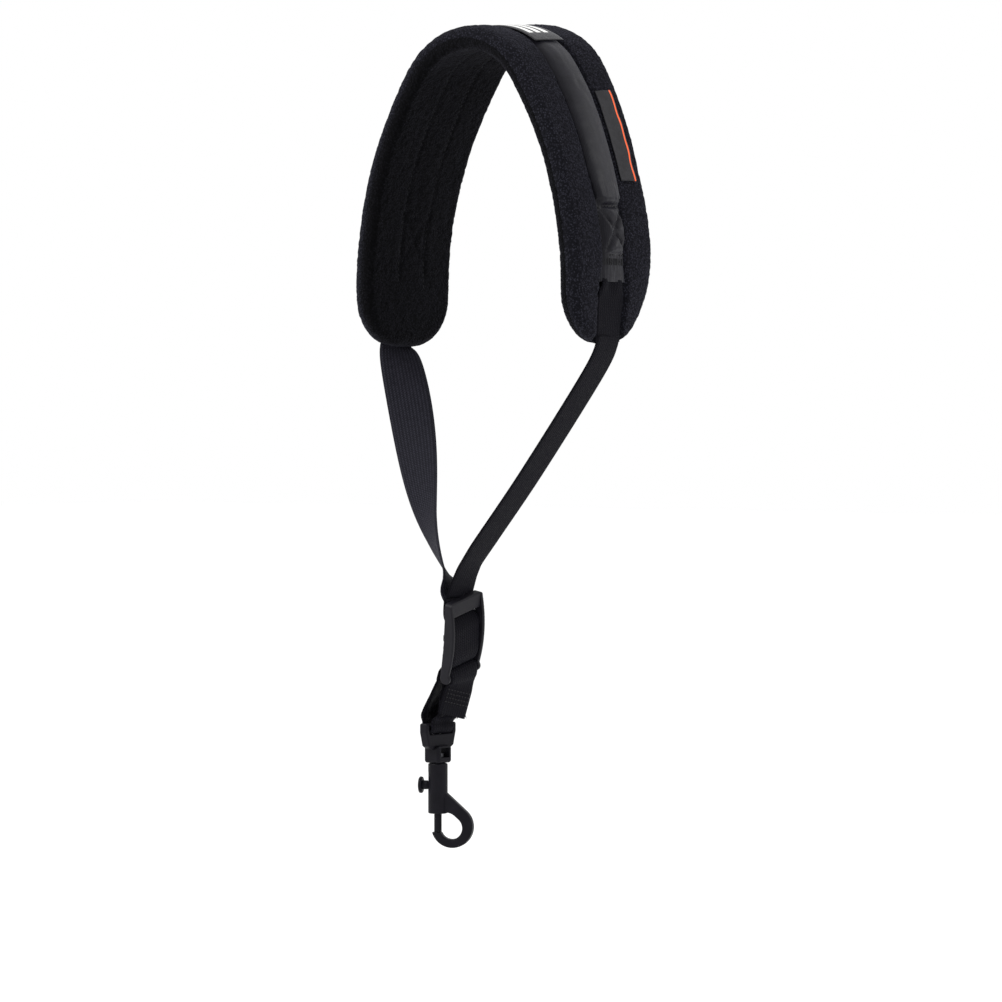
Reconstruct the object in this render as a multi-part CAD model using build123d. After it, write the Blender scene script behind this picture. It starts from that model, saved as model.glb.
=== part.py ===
from build123d import *
import os
from math import asin, cos, degrees, exp, pi, radians, sin

os.makedirs("parts", exist_ok=True)

# Millimetres. X runs across the arch, Y across the pad's width, Z up.
# The origin is the inner face of the neck pad at its crown.

# Neck pad, with heights measured outward from its mid-thickness line
INNER_FACE = -6.0
OUTER_FACE = 6.0
PAD_HALF_WIDTH = 35.5
CROWN_RADIUS = 44.0
CROWN_TURN = radians(56)
SIDE_RADIUS = 216.0
PAD_HALF_LENGTH = 200.0
COVER_WALL = 1.4
EDGE_ROUND = 4.0

# Sleeve and webbing that lie in the channel down the pad's outer face
CHANNEL_FLOOR = 3.0
CHANNEL_HALF_WIDTH = 13.3
WEBBING_WIDTH = 25.0
WEBBING_THICK = 1.4
SLEEVE_HALF_LENGTH = 159.0
SLEEVE_WALL = 0.6
SLEEVE_CROWN_TOP = 5.6
SLEEVE_ARM_TOP = 9.2
SLEEVE_SEWN_TOP = 5.3
SLEEVE_RISE_RUN = 70.0
SLEEVE_FALL_RUNS = (104.0, 125.0)
SLEEVE_FOAM_END = 106.0

# Labels and sewing
TOP_LABEL = (49.0, 23.0, 1.3)
TOP_LABEL_GAP = 1.1
SIDE_LABEL_RUNS = (62.0, 113.0)
SIDE_LABEL_MIDDLE_Y = 20.4
SIDE_LABEL_HALF_WIDTH = 6.2
SIDE_LABEL_THICK = 0.5
THREAD = 0.8
THREAD_PROUD = 0.4
CHANNEL_SEAM_Y = 10.5
CHANNEL_SEAM_RUN = 168.0
STITCH_BOX_RUNS = (127.0, 153.0)
STITCH_BOX_WIDTH = 20.0
BARTACK_LENGTH = 2.4

# Ladder lock, drawn in its own plane: x across it, y up it, z out of its front
LOCK_TOP = (-5.6, -26.6, -301.0)
LOCK_ACROSS = (-0.049, 0.966, 0.242)
LOCK_FRONT = (0.973, 0.100, -0.205)
LOCK_WIDTH = 29.8
LOCK_CORNER_RADIUS = 2.6
RAIL_WIDTH = 2.2
LIFT_BAR = (9.0, 4.0)
CENTRE_BAR = (4.0, 2.4)
CENTRE_BAR_AT = (-20.5, -1.9)
BOTTOM_BAR_AT = (-43.0, -1.3)
BOTTOM_BAR_RADIUS = 1.8

# Hook assembly, hanging on a vertical axis
HOOK_X = -30.0
HOOK_Y = -20.0
HOOK_FACING = 28.0
EYE_BAR_Z = -373.0
EYE_BAR_RADIUS = 2.1
EYE_HALF_WIDTH = 12.4
EYE_BASE_HALF_WIDTH = 10.4
EYE_SLOT_HALF_WIDTH = 9.9
EYE_SLOT_FLOOR = -377.1
EYE_THICK = 5.4
CAGE_TOP = -383.5
CAGE_FLOOR = -390.0
CAGE_BOTTOM = -393.0
BARREL_TOP = -393.3
BARREL_BOTTOM = -421.0
BARREL_RADIUS = 5.4
POST_RADIUS = 2.5
BOLT_RADIUS = 2.1
BOLT_END = -431.2
PISTON_RADIUS = 3.7
PISTON_TOP = -402.5
PISTON_BOTTOM = -410.5
CHAMBER_TOP = -396.5
CHAMBER_BOTTOM = -414.0
FIT_GAP = 0.1
KNOB_Z = -405.4
KNOB_RADIUS = 4.6
KNOB_REACH = (8.5, 10.5)
KNOB_NECK_RADIUS = 2.5
KNOB_STEM_RADIUS = 2.0
GATE_TRAVEL = 6.0
CLAW_OUTER_BEND = (8.3, -428.2)
CLAW_OUTER_RADIUS = 11.7
CLAW_INNER_BEND = (7.8, -428.9)
CLAW_INNER_RADIUS = 6.2
CLAW_SLOPE = 48.0
CLAW_THROAT_LINE = 3.0
CLAW_THROAT_RADIUS = 7.0
CLAW_THICK = 6.0
CLAW_ROUND = 1.3
BIGHT_WIDTH = 19.0
BIGHT_TOP = -370.0

CROWN_RUN = CROWN_RADIUS * CROWN_TURN
SIDE_RUN = CROWN_RUN + SIDE_RADIUS * (pi / 2 - CROWN_TURN)
CROWN_CENTRE_Z = -INNER_FACE - CROWN_RADIUS
SIDE_CENTRE_X = -(SIDE_RADIUS - CROWN_RADIUS) * sin(CROWN_TURN)
SIDE_CENTRE_Z = CROWN_CENTRE_Z - (SIDE_RADIUS - CROWN_RADIUS) * cos(CROWN_TURN)
PAD_TIP_Z = SIDE_CENTRE_Z - (PAD_HALF_LENGTH - SIDE_RUN)
TIP_X = SIDE_CENTRE_X + SIDE_RADIUS
WEBBING_MIDDLE = CHANNEL_FLOOR + WEBBING_THICK / 2
LOCK = Plane(origin=LOCK_TOP, x_dir=LOCK_ACROSS, z_dir=LOCK_FRONT)
DOWN = Vector(0, 0, -1)
LEVEL = Vector(0, 1, 0.05)
TAIL_SEAM = (Vector(-18.1, -16.0, -351.5), Vector(-21.2, -19.2, -367))
SEWN_STRAND = (Vector(-20.0, -16.2, -351.5), Vector(-21.8, -17.9, -359))
LOCK_EXIT = [(-43, -6.7), (-47, -7.6)]


def arch_point(run, height):
    """Point at a distance run along the pad from its crown, height outward from the mid line."""
    side = 1 if run >= 0 else -1
    run = abs(run)
    if run > SIDE_RUN:
        return Vector(side * (TIP_X + height), 0, SIDE_CENTRE_Z - (run - SIDE_RUN))
    if run > CROWN_RUN:
        turn = CROWN_TURN + (run - CROWN_RUN) / SIDE_RADIUS
        reach = SIDE_RADIUS + height
        return Vector(side * (SIDE_CENTRE_X + reach * sin(turn)), 0, SIDE_CENTRE_Z + reach * cos(turn))
    turn = run / CROWN_RADIUS
    reach = CROWN_RADIUS + height
    return Vector(side * reach * sin(turn), 0, CROWN_CENTRE_Z + reach * cos(turn))


def arch_line(start, end, height):
    """Arcs and lines that follow the arch between two runs at one height."""
    joints = [run for run in (-SIDE_RUN, -CROWN_RUN, CROWN_RUN, SIDE_RUN) if start < run < end]
    stops = [start] + joints + [end]
    edges = []
    for first, last in zip(stops, stops[1:]):
        ends = arch_point(first, height), arch_point(last, height)
        if min(abs(first), abs(last)) >= SIDE_RUN - 0.001:
            edges.append(Line(*ends))
        else:
            edges.append(ThreePointArc(ends[0], arch_point((first + last) / 2, height), ends[1]))
    return edges


def arch_solid(lower, upper, half_width, middle_y=0.0):
    """Solid between two lists of edges in the XZ plane, extruded to both sides of middle_y."""
    caps = [Line(lower[0] @ 0, upper[0] @ 0), Line(lower[-1] @ 1, upper[-1] @ 1)]
    face = Face(Wire(lower + upper + caps))
    return Pos(0, middle_y, 0) * extrude(face, amount=half_width, dir=(0, 1, 0), both=True)


def arch_band(low, high, start, end, half_width, middle_y=0.0):
    """Curved slab that follows the arch between two heights."""
    return arch_solid(arch_line(start, end, low), arch_line(start, end, high), half_width, middle_y)


def tip_block(half_width, end_z):
    """Block whose lower corners are rounded, to trim a band to the pad's plan."""
    top = 20.0
    corner = SIDE_CENTRE_Z - end_z
    plan = Pos(0, (top + end_z) / 2) * Rectangle(2 * half_width, top - end_z)
    plan = fillet(plan.vertices().group_by(Axis.Y)[0], corner)
    return extrude(Plane.YZ * plan, amount=120, both=True)


def pad_shape():
    """Whole pad with its long edges and rounded ends softened."""
    pad = arch_band(INNER_FACE, OUTER_FACE, -PAD_HALF_LENGTH, PAD_HALF_LENGTH, PAD_HALF_WIDTH)
    pad = pad & tip_block(PAD_HALF_WIDTH, PAD_TIP_Z)
    rims = pad.edges().filter_by(GeomType.CIRCLE)
    ends = pad.edges().filter_by(Axis.Y).filter_by(lambda edge: edge.center().Z < PAD_TIP_Z + 0.1)
    return fillet(rims + ends, EDGE_ROUND)


def pad_foam():
    end = PAD_HALF_LENGTH - COVER_WALL
    half_width = PAD_HALF_WIDTH - COVER_WALL
    foam = arch_band(INNER_FACE + COVER_WALL, OUTER_FACE - COVER_WALL, -end, end, half_width)
    foam = foam & tip_block(half_width, PAD_TIP_Z + COVER_WALL)
    floor = CHANNEL_FLOOR - COVER_WALL
    return foam - arch_band(floor, OUTER_FACE + 2, -end - 1, end + 1, CHANNEL_HALF_WIDTH + COVER_WALL)


def channel_stitching():
    """Two rows of sewing sunk in the neck face, one each side of the sleeve's channel."""
    rows = []
    for side in (-1, 1):
        row = arch_band(INNER_FACE, INNER_FACE + THREAD_PROUD, -CHANNEL_SEAM_RUN, CHANNEL_SEAM_RUN,
                        THREAD / 2, side * CHANNEL_SEAM_Y)
        rows.append(row)
    return Compound(children=rows)


def pad_covers(foam, stitching):
    pad = pad_shape()
    past = PAD_HALF_LENGTH + 1
    wide = PAD_HALF_WIDTH + 1
    inner = (pad & arch_band(INNER_FACE - 1, 0, -past, past, wide)) - foam - stitching
    outer = (pad & arch_band(0, OUTER_FACE + 1, -past, past, wide)) - foam
    outer = outer - arch_band(CHANNEL_FLOOR, OUTER_FACE + 2, -past, past, CHANNEL_HALF_WIDTH)
    return inner, outer


def ease(part):
    """Smooth step from 0 to 1."""
    part = min(max(part, 0), 1)
    return part * part * (3 - 2 * part)


def sleeve_top(run):
    """Height of the sleeve: low at the crown, full on the arms, flat where its ends are sewn down."""
    full = SLEEVE_CROWN_TOP + (SLEEVE_ARM_TOP - SLEEVE_CROWN_TOP) * ease(abs(run) / SLEEVE_RISE_RUN)
    start, end = SLEEVE_FALL_RUNS
    return full + (SLEEVE_SEWN_TOP - full) * ease((abs(run) - start) / (end - start))


def sleeve_block(floor, inset, half_width, half_length):
    """Solid from a floor height up to the sleeve's top less an inset."""
    steps = 64
    runs = [half_length * (2 * step / steps - 1) for step in range(steps + 1)]
    crest = [Spline(*[arch_point(run, sleeve_top(run) - inset) for run in runs])]
    return arch_solid(arch_line(-half_length, half_length, floor), crest, half_width)


def sleeve_parts():
    half_width = CHANNEL_HALF_WIDTH - 0.1
    inside = half_width - SLEEVE_WALL
    cover = sleeve_block(CHANNEL_FLOOR, 0, half_width, SLEEVE_HALF_LENGTH)
    cover = cover - sleeve_block(CHANNEL_FLOOR - 1, SLEEVE_WALL, inside, SLEEVE_HALF_LENGTH + 1)
    filling = sleeve_block(CHANNEL_FLOOR + WEBBING_THICK, SLEEVE_WALL + 0.15, inside - 0.1, SLEEVE_FOAM_END)
    return cover, filling


def neck_webbing():
    """Webbing sewn along the whole outer face of the pad, under the sleeve."""
    return arch_band(CHANNEL_FLOOR, CHANNEL_FLOOR + WEBBING_THICK, -PAD_HALF_LENGTH, PAD_HALF_LENGTH,
                     WEBBING_WIDTH / 2)


def top_label():
    length, width, thick = TOP_LABEL
    low = SLEEVE_CROWN_TOP + TOP_LABEL_GAP
    return arch_band(low, low + thick, -length / 2, length / 2, width / 2)


def side_label():
    start, end = SIDE_LABEL_RUNS
    return arch_band(OUTER_FACE, OUTER_FACE + SIDE_LABEL_THICK, start, end,
                     SIDE_LABEL_HALF_WIDTH, SIDE_LABEL_MIDDLE_Y)


def sewn_pattern(bars, side):
    """Flat bars (y, z, length, width, tilt) laid as thread on the sewn end of the sleeve."""
    surface = SLEEVE_SEWN_TOP + 0.1
    skin = arch_band(surface, surface + THREAD_PROUD, 100, PAD_HALF_LENGTH - 5, CHANNEL_HALF_WIDTH)
    plan = Sketch()
    for across, up, length, width, tilt in bars:
        plan += Pos(across, up) * Rot(0, 0, tilt) * Rectangle(length, width)
    threads = skin & extrude(Plane.YZ * plan, amount=120)
    return threads if side > 0 else mirror(threads, about=Plane.YZ)


def box_stitch(side):
    """Sewn rectangle with its two diagonals."""
    top = arch_point(STITCH_BOX_RUNS[0], 0).Z
    bottom = arch_point(STITCH_BOX_RUNS[1], 0).Z
    height = top - bottom
    middle = (top + bottom) / 2
    half = STITCH_BOX_WIDTH / 2
    slope = Vector(STITCH_BOX_WIDTH, height, 0)
    tilt = Vector(1, 0, 0).get_angle(slope)
    bars = [(0, top, STITCH_BOX_WIDTH, THREAD, 0), (0, bottom, STITCH_BOX_WIDTH, THREAD, 0)]
    bars += [(-half, middle, height, THREAD, 90), (half, middle, height, THREAD, 90)]
    bars += [(0, middle, slope.length, THREAD, tilt), (0, middle, slope.length, THREAD, -tilt)]
    return sewn_pattern(bars, side)


def bartack(side):
    """Short dense row of sewing just below the stitched box."""
    level = arch_point(STITCH_BOX_RUNS[1], 0).Z - 1.0 - BARTACK_LENGTH / 2
    return sewn_pattern([(0, level, STITCH_BOX_WIDTH, BARTACK_LENGTH, 0)], side)


def webbing(points, across, widths, thick=WEBBING_THICK, first_run=None, last_run=None):
    """Flat webbing through points, with its width direction and width at each, square to its end runs."""
    runs = []
    for index in range(len(points)):
        before = points[max(index - 1, 0)]
        after = points[min(index + 1, len(points) - 1)]
        runs.append((after - before).normalized())
    runs[0] = first_run or runs[0]
    runs[-1] = last_run or runs[-1]
    sections = []
    for point, run, width_way, width in zip(points, runs, across, widths):
        side = width_way - run * width_way.dot(run)
        sections.append(Plane(origin=point, x_dir=side, z_dir=run) * Rectangle(width, thick))
    return loft(sections, ruled=True)


def lock_point(across, up, front):
    """Point given in the ladder lock's own plane."""
    return LOCK.from_local_coords(Vector(across, up, front))


def strap_end(layer):
    """Where one of the two straps enters the ladder lock."""
    return lock_point(0, -0.6, -3.7 + layer * WEBBING_THICK * 0.52)


def right_strap():
    points = [Vector(TIP_X + WEBBING_MIDDLE, 0, PAD_TIP_Z - 0.1), Vector(71.5, -2, -172)]
    points += [Vector(1.5, -26, -281), Vector(-4.6, -26.6, -290), strap_end(1)]
    across = [Vector(0, 1, 0)] + [Vector(-0.19, 0.98, -0.09)] * 2 + [Vector(-0.08, 1, 0.12), LOCK.x_dir]
    return webbing(points, across, [WEBBING_WIDTH] * 5, first_run=DOWN, last_run=LOCK.y_dir * -1)


def left_strap():
    """Strap with a half turn in it, quick at the pad and steady below."""
    start = Vector(-TIP_X - WEBBING_MIDDLE, 0, PAD_TIP_Z - 0.1)
    end = strap_end(-1)
    steps = 12
    points = []
    across = []
    for step in range(steps):
        part = step / steps
        drop = (start.Z - end.Z) * part
        turn = radians(25) * (1 - exp(-drop / 6)) + radians(0.92) * drop
        points.append(start + (end - start) * part + Vector(0, -9 * sin(pi * part * part), 0))
        across.append(Vector(sin(turn), cos(turn), 0))
    points.append(end)
    across.append(LOCK.x_dir * -1)
    widths = [WEBBING_WIDTH - 0.4] * (steps + 1)
    return webbing(points, across, widths, first_run=DOWN, last_run=LOCK.y_dir * -1)


def cross_bar(at, size, width, roundness):
    """Bar across the lock, centred at a place in the rails' side view."""
    bar = Pos(0, *at) * Box(width, *size)
    return fillet(bar.edges().filter_by(Axis.X), roundness)


def lock_corner(side):
    """What rounding takes off one of the lock's two top corners."""
    radius = LOCK_CORNER_RADIUS
    middle = LOCK_WIDTH / 2 - radius
    square = Pos(side * (middle + radius / 2), -radius / 2, 0) * Box(radius, radius, 2 * LIFT_BAR[1])
    return square - Pos(side * middle, -radius, 0) * Cylinder(radius, 2 * LIFT_BAR[1])


def ladder_lock():
    """Moulded three-bar lock with rails that swell forward and taper to the bottom bar."""
    front = ThreePointArc((0, 2.0), (-24, 4.2), (-42, 1.4))
    foot = ThreePointArc((-42, 1.4), (-47, -2.2), (-44, -4.2))
    back = ThreePointArc((-44, -4.2), (-24, -2.6), (0, -2.0))
    profile = Face(Wire([front, foot, back, Line((0, -2.0), (0, 2.0))]))
    side_plane = Plane(origin=(0, 0, 0), x_dir=(0, 1, 0), z_dir=(1, 0, 0))
    rail = fillet(extrude(side_plane * profile, amount=RAIL_WIDTH).edges(), 0.7)
    lock = Pos(LOCK_WIDTH / 2 - RAIL_WIDTH, 0, 0) * rail + Pos(-LOCK_WIDTH / 2, 0, 0) * rail
    lift_bar = Pos(0, -LIFT_BAR[0] / 2, 0) * Box(LOCK_WIDTH, *LIFT_BAR)
    lift_bar = fillet(lift_bar.edges().filter_by(Axis.Z).group_by(Axis.Y)[-1], 2.2)
    lock += fillet(lift_bar.edges().group_by(Axis.Z)[-1], 1.2)
    lock += cross_bar(CENTRE_BAR_AT, CENTRE_BAR, LOCK_WIDTH - 2, 0.8)
    up, out = BOTTOM_BAR_AT
    lock += Pos(0, up, out) * Rot(0, 90, 0) * Cylinder(BOTTOM_BAR_RADIUS, LOCK_WIDTH - 2)
    lock -= lock_corner(1) + lock_corner(-1)
    return LOCK.location * lock


def threaded_webbing():
    """Both straps together, in front of the centre bar and behind the other two."""
    route = [(-0.8, -3.7), (-9.5, -3.6), (-15.5, 1.0), (-25.5, 1.0), (-33.5, -0.2), (-38.2, -4.6)]
    route += LOCK_EXIT
    points = [lock_point(0, up, out) for up, out in route]
    return webbing(points, [LOCK.x_dir] * len(points), [WEBBING_WIDTH] * len(points), 2 * WEBBING_THICK)


def loop_tail():
    """Sewn end of the webbing: up behind the bottom bar, over it and down the front."""
    up, out = BOTTOM_BAR_AT
    inner = BOTTOM_BAR_RADIUS + 0.15
    width = WEBBING_WIDTH - 0.4
    ring = Cylinder(inner + WEBBING_THICK, width) - Cylinder(inner, width + 1)
    ring = Rot(0, 90, 0) * ring & Pos(0, 5, 0) * Box(40, 10, 20)
    fold = LOCK.location * Pos(0, up, out) * ring
    radius = inner + WEBBING_THICK / 2
    tail = fold
    for side, seam in ((1, TAIL_SEAM), (-1, SEWN_STRAND)):
        points = [lock_point(0, up + drop, out + side * radius) for drop in (0, -5)]
        points += [seam[0], seam[0] + (seam[1] - seam[0]) * 0.1, seam[1]]
        across = [LOCK.x_dir] * 2 + [LEVEL] * 3
        tail += webbing(points, across, [width] * 5, first_run=LOCK.y_dir * -1)
    return tail


def tail_stitching():
    """Rows of sewing through the tail, standing on its front face."""
    top, bottom = TAIL_SEAM
    run = (bottom - top).normalized()
    side = (LEVEL - run * LEVEL.dot(run)).normalized()
    out = side.cross(run) * -1
    rows = []
    for row in range(3):
        centre = top + run * (3.0 + 2.2 * row) + out * (WEBBING_THICK / 2 + THREAD_PROUD / 2 + 0.1)
        plane = Plane(origin=centre, x_dir=side, z_dir=out)
        rows.append(plane.location * Box(WEBBING_WIDTH - 4, THREAD, THREAD_PROUD))
    return Compound(children=rows)


def strand(start, start_way, start_run, middles, end_x):
    """Webbing from above down to one side of the bight, drawn in to the bight's width."""
    points = [start] + middles + [Vector(end_x, HOOK_Y, BIGHT_TOP + 0.1)]
    across = [start_way] + [LEVEL] * len(middles) + [Vector(0, 1, 0)]
    widths = [WEBBING_WIDTH - 0.4, WEBBING_WIDTH - 1.4, WEBBING_WIDTH - 4][:len(middles) + 1] + [BIGHT_WIDTH]
    return webbing(points, across, widths, first_run=start_run, last_run=DOWN)


def loop_strands():
    radius = EYE_BAR_RADIUS + 0.2 + WEBBING_THICK / 2
    above, end = [lock_point(0, up, out) for up, out in LOCK_EXIT]
    run = (end - above).normalized()
    bulge = [Vector(-31.2, -18.8, -358), Vector(-34.4, -19.8, -366)]
    back = strand(end + run * 0.1, LOCK.x_dir, run, bulge, HOOK_X - radius)
    above, end = SEWN_STRAND
    run = (end - above).normalized()
    front = strand(end + run * 0.1, LEVEL, run, [Vector(-24.4, -19.6, -364.5)], HOOK_X + radius)
    return back, front


def loop_bight():
    """Fold of the webbing under the eye's bar."""
    inner = EYE_BAR_RADIUS + 0.2
    outer = inner + WEBBING_THICK
    drop = BIGHT_TOP - EYE_BAR_Z
    wrap = Cylinder(outer, BIGHT_WIDTH) - Cylinder(inner, BIGHT_WIDTH + 1)
    wrap = Rot(90, 0, 0) * wrap & Pos(0, 0, -10) * Box(20, 40, 20)
    for side in (-1, 1):
        middle = side * (inner + WEBBING_THICK / 2)
        wrap += Pos(middle, 0, drop / 2) * Box(WEBBING_THICK, BIGHT_WIDTH, drop)
    return Pos(HOOK_X, HOOK_Y, EYE_BAR_Z) * wrap


def swivel_eye():
    """Webbing slot on a solid base, over an open cage that carries the swivel."""
    half = EYE_HALF_WIDTH
    base = EYE_BASE_HALF_WIDTH
    slot = EYE_SLOT_HALF_WIDTH
    top = EYE_BAR_Z + EYE_BAR_RADIUS
    bottom = CAGE_TOP - 2
    outer = Polygon((half, top), (half, top - 5), (base, CAGE_TOP), (7, bottom),
                    (-7, bottom), (-base, CAGE_TOP), (-half, top - 5), (-half, top), align=None)
    hole = Polygon((slot, top + 3), (slot, EYE_SLOT_FLOOR), (-slot, EYE_SLOT_FLOOR), (-slot, top + 3),
                   align=None)
    plan = fillet(outer.vertices(), 1.1) - fillet(hole.vertices(), 1.0)
    frame = extrude(Plane.YZ * plan, amount=EYE_THICK / 2, both=True)
    rims = frame.edges().filter_by(lambda edge: abs(edge.center().X) > 1)
    frame = fillet(rims, 0.8)
    bar = Pos(0, 0, EYE_BAR_Z) * Rot(90, 0, 0) * Cylinder(EYE_BAR_RADIUS, 2 * half - 2.4)
    block = Pos(0, 0, (CAGE_TOP + CAGE_BOTTOM) / 2) * Box(10.8, 11.6, CAGE_TOP - CAGE_BOTTOM)
    block = fillet(block.edges(), 1.6)
    window_top = CAGE_TOP - 1.2
    window = Pos(0, 0, (window_top + CAGE_FLOOR) / 2) * Box(20, 7.2, window_top - CAGE_FLOOR)
    hole = Pos(0, 0, CAGE_BOTTOM) * Cylinder(POST_RADIUS + FIT_GAP, 10)
    return Pos(HOOK_X, HOOK_Y, 0) * (frame + bar + block - window - hole)


def on_hook(shape):
    """Turn a shape drawn about the Z axis to the hook's own facing."""
    return Pos(HOOK_X, HOOK_Y, 0) * Rot(0, 0, HOOK_FACING) * shape


def column(radius, top, bottom):
    """Upright cylinder between two levels."""
    return Pos(0, 0, (top + bottom) / 2) * Cylinder(radius, top - bottom)


def stem(radius, start, end, level):
    """Cylinder that points from the hook's axis to its knob side."""
    return Pos(-(start + end) / 2, 0, level) * Rot(0, 90, 0) * Cylinder(radius, end - start)


def swivel_rivet():
    head_radius = POST_RADIUS + 0.9
    head = column(head_radius, CAGE_FLOOR + 2.5, CAGE_FLOOR + FIT_GAP)
    head = fillet(head.edges().group_by(Axis.Z)[-1], 0.7)
    return on_hook(head + column(POST_RADIUS, CAGE_FLOOR + FIT_GAP, CHAMBER_TOP + 0.1))


def around(centre, radius, angle):
    """Point on a circle in the hook's plane, its angle in degrees from the side it bulges to."""
    return Vector(centre[0] + radius * cos(radians(angle)), centre[1] + radius * sin(radians(angle)))


def bow(centre, radius, start, end):
    """Arc between two angles of a circle in the hook's plane."""
    return ThreePointArc(*[around(centre, radius, angle) for angle in (start, (start + end) / 2, end)])


def tip_angle(bend, radius):
    """Angle at which a bow comes round to the level of the closed bolt's end."""
    return degrees(asin((bend[1] - BOLT_END + 0.2) / radius)) - 180


def claw_outline():
    """Outer and inner edges of the hook: a bow each, then a straight run up to the barrel."""
    up_slope = around((0, 0), 1, CLAW_SLOPE + 90)
    turn = CLAW_OUTER_BEND, CLAW_OUTER_RADIUS
    outer = bow(*turn, CLAW_SLOPE, tip_angle(*turn))
    shoulder = outer @ 0 + up_slope * (((outer @ 0).X - 4) / -up_slope.X)
    turn = CLAW_INNER_BEND, CLAW_INNER_RADIUS
    inner = bow(*turn, tip_angle(*turn), CLAW_SLOPE)
    rise = Line(inner @ 1, inner @ 1 + up_slope * CLAW_THROAT_LINE)
    centre = rise @ 1 - around((0, 0), CLAW_THROAT_RADIUS, CLAW_SLOPE)
    throat = bow((centre.X, centre.Y), CLAW_THROAT_RADIUS, CLAW_SLOPE, 90)
    crotch = throat @ 1
    core = [Line(crotch, Vector(0, crotch.Y)), Line(Vector(0, crotch.Y), Vector(0, shoulder.Y)),
            Line(Vector(0, shoulder.Y), shoulder)]
    return [Line(shoulder, outer @ 0), outer, Line(outer @ 1, inner @ 0), inner, rise, throat] + core


def hook_body():
    """Barrel with the bolt's bore, and the curved hook below it."""
    plane = Plane(origin=(0, 0, 0), x_dir=(1, 0, 0), z_dir=(0, -1, 0))
    claw = extrude(plane * Face(Wire(claw_outline())), amount=CLAW_THICK / 2, both=True)
    rims = claw.edges().filter_by(GeomType.CIRCLE).filter_by(lambda edge: abs(edge.center().Y) > 1)
    claw = fillet(rims, CLAW_ROUND)
    barrel = column(BARREL_RADIUS, BARREL_TOP, BARREL_BOTTOM)
    barrel = fillet(barrel.edges().filter_by(GeomType.CIRCLE), 0.8)
    body = barrel + claw
    body -= column(PISTON_RADIUS + FIT_GAP, CHAMBER_TOP, CHAMBER_BOTTOM)
    body -= column(BOLT_RADIUS + FIT_GAP, CHAMBER_BOTTOM + 1, BARREL_BOTTOM - 5)
    body -= column(POST_RADIUS, BARREL_TOP + 1, CHAMBER_TOP - 1)
    half_slot = KNOB_STEM_RADIUS + 0.2
    for level in (KNOB_Z, KNOB_Z + GATE_TRAVEL):
        body -= stem(half_slot, 0, 9, level)
    body -= Pos(-4.5, 0, KNOB_Z + GATE_TRAVEL / 2) * Box(9, 2 * half_slot, GATE_TRAVEL)
    return on_hook(body)


def gate_bolt():
    """Sliding rod that closes the hook, with a cup for its spring."""
    bolt = column(BOLT_RADIUS, PISTON_BOTTOM + 0.1, BOLT_END)
    bolt += column(PISTON_RADIUS, PISTON_TOP, PISTON_BOTTOM)
    bolt -= column(PISTON_RADIUS - 0.9, PISTON_TOP + 1, PISTON_BOTTOM + 1.2)
    bolt -= stem(KNOB_STEM_RADIUS, 0, 9, KNOB_Z)
    return on_hook(bolt)


def thumb_knob():
    start, end = KNOB_REACH
    knob = stem(KNOB_RADIUS, start, end, KNOB_Z)
    knob = fillet(knob.edges().filter_by(GeomType.CIRCLE), 0.8)
    knob += stem(KNOB_NECK_RADIUS, BARREL_RADIUS + 0.4, start + 0.5, KNOB_Z)
    return on_hook(knob + stem(KNOB_STEM_RADIUS, PISTON_RADIUS - 0.8, BARREL_RADIUS + 1, KNOB_Z))


def gate_spring():
    wire_radius = 0.3
    coil_radius = PISTON_RADIUS - 0.9 - 0.15 - wire_radius
    bottom = PISTON_BOTTOM + 1.2 + wire_radius
    height = CHAMBER_TOP - wire_radius - bottom
    coil = Helix(pitch=height / 6, height=height, radius=coil_radius)
    start = Plane(origin=coil @ 0, z_dir=coil % 0)
    return on_hook(Pos(0, 0, bottom) * sweep(start * Circle(wire_radius), path=coil))


def all_parts():
    """Every sub-part by its node name."""
    foam = pad_foam()
    stitching = channel_stitching()
    inner, outer = pad_covers(foam, stitching)
    sleeve, filling = sleeve_parts()
    back_strand, front_strand = loop_strands()
    return {
        "pad_foam": foam,
        "pad_inner_cover": inner,
        "pad_outer_cover": outer,
        "channel_stitching": stitching,
        "neck_webbing": neck_webbing(),
        "sleeve_foam": filling,
        "sleeve_cover": sleeve,
        "top_label": top_label(),
        "side_label": side_label(),
        "left_box_stitch": box_stitch(-1),
        "right_box_stitch": box_stitch(1),
        "left_bartack": bartack(-1),
        "right_bartack": bartack(1),
        "left_strap": left_strap(),
        "right_strap": right_strap(),
        "ladder_lock": ladder_lock(),
        "threaded_webbing": threaded_webbing(),
        "loop_tail": loop_tail(),
        "tail_stitching": tail_stitching(),
        "back_strand": back_strand,
        "front_strand": front_strand,
        "loop_bight": loop_bight(),
        "swivel_eye": swivel_eye(),
        "swivel_rivet": swivel_rivet(),
        "hook_body": hook_body(),
        "gate_bolt": gate_bolt(),
        "thumb_knob": thumb_knob(),
        "gate_spring": gate_spring(),
    }


for name, shape in all_parts().items():
    export_step(shape, f"parts/{name}.step")
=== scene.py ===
from math import cos, exp, hypot, pi, radians, sin, sqrt
import bmesh
import bpy
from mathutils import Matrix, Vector, noise


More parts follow.
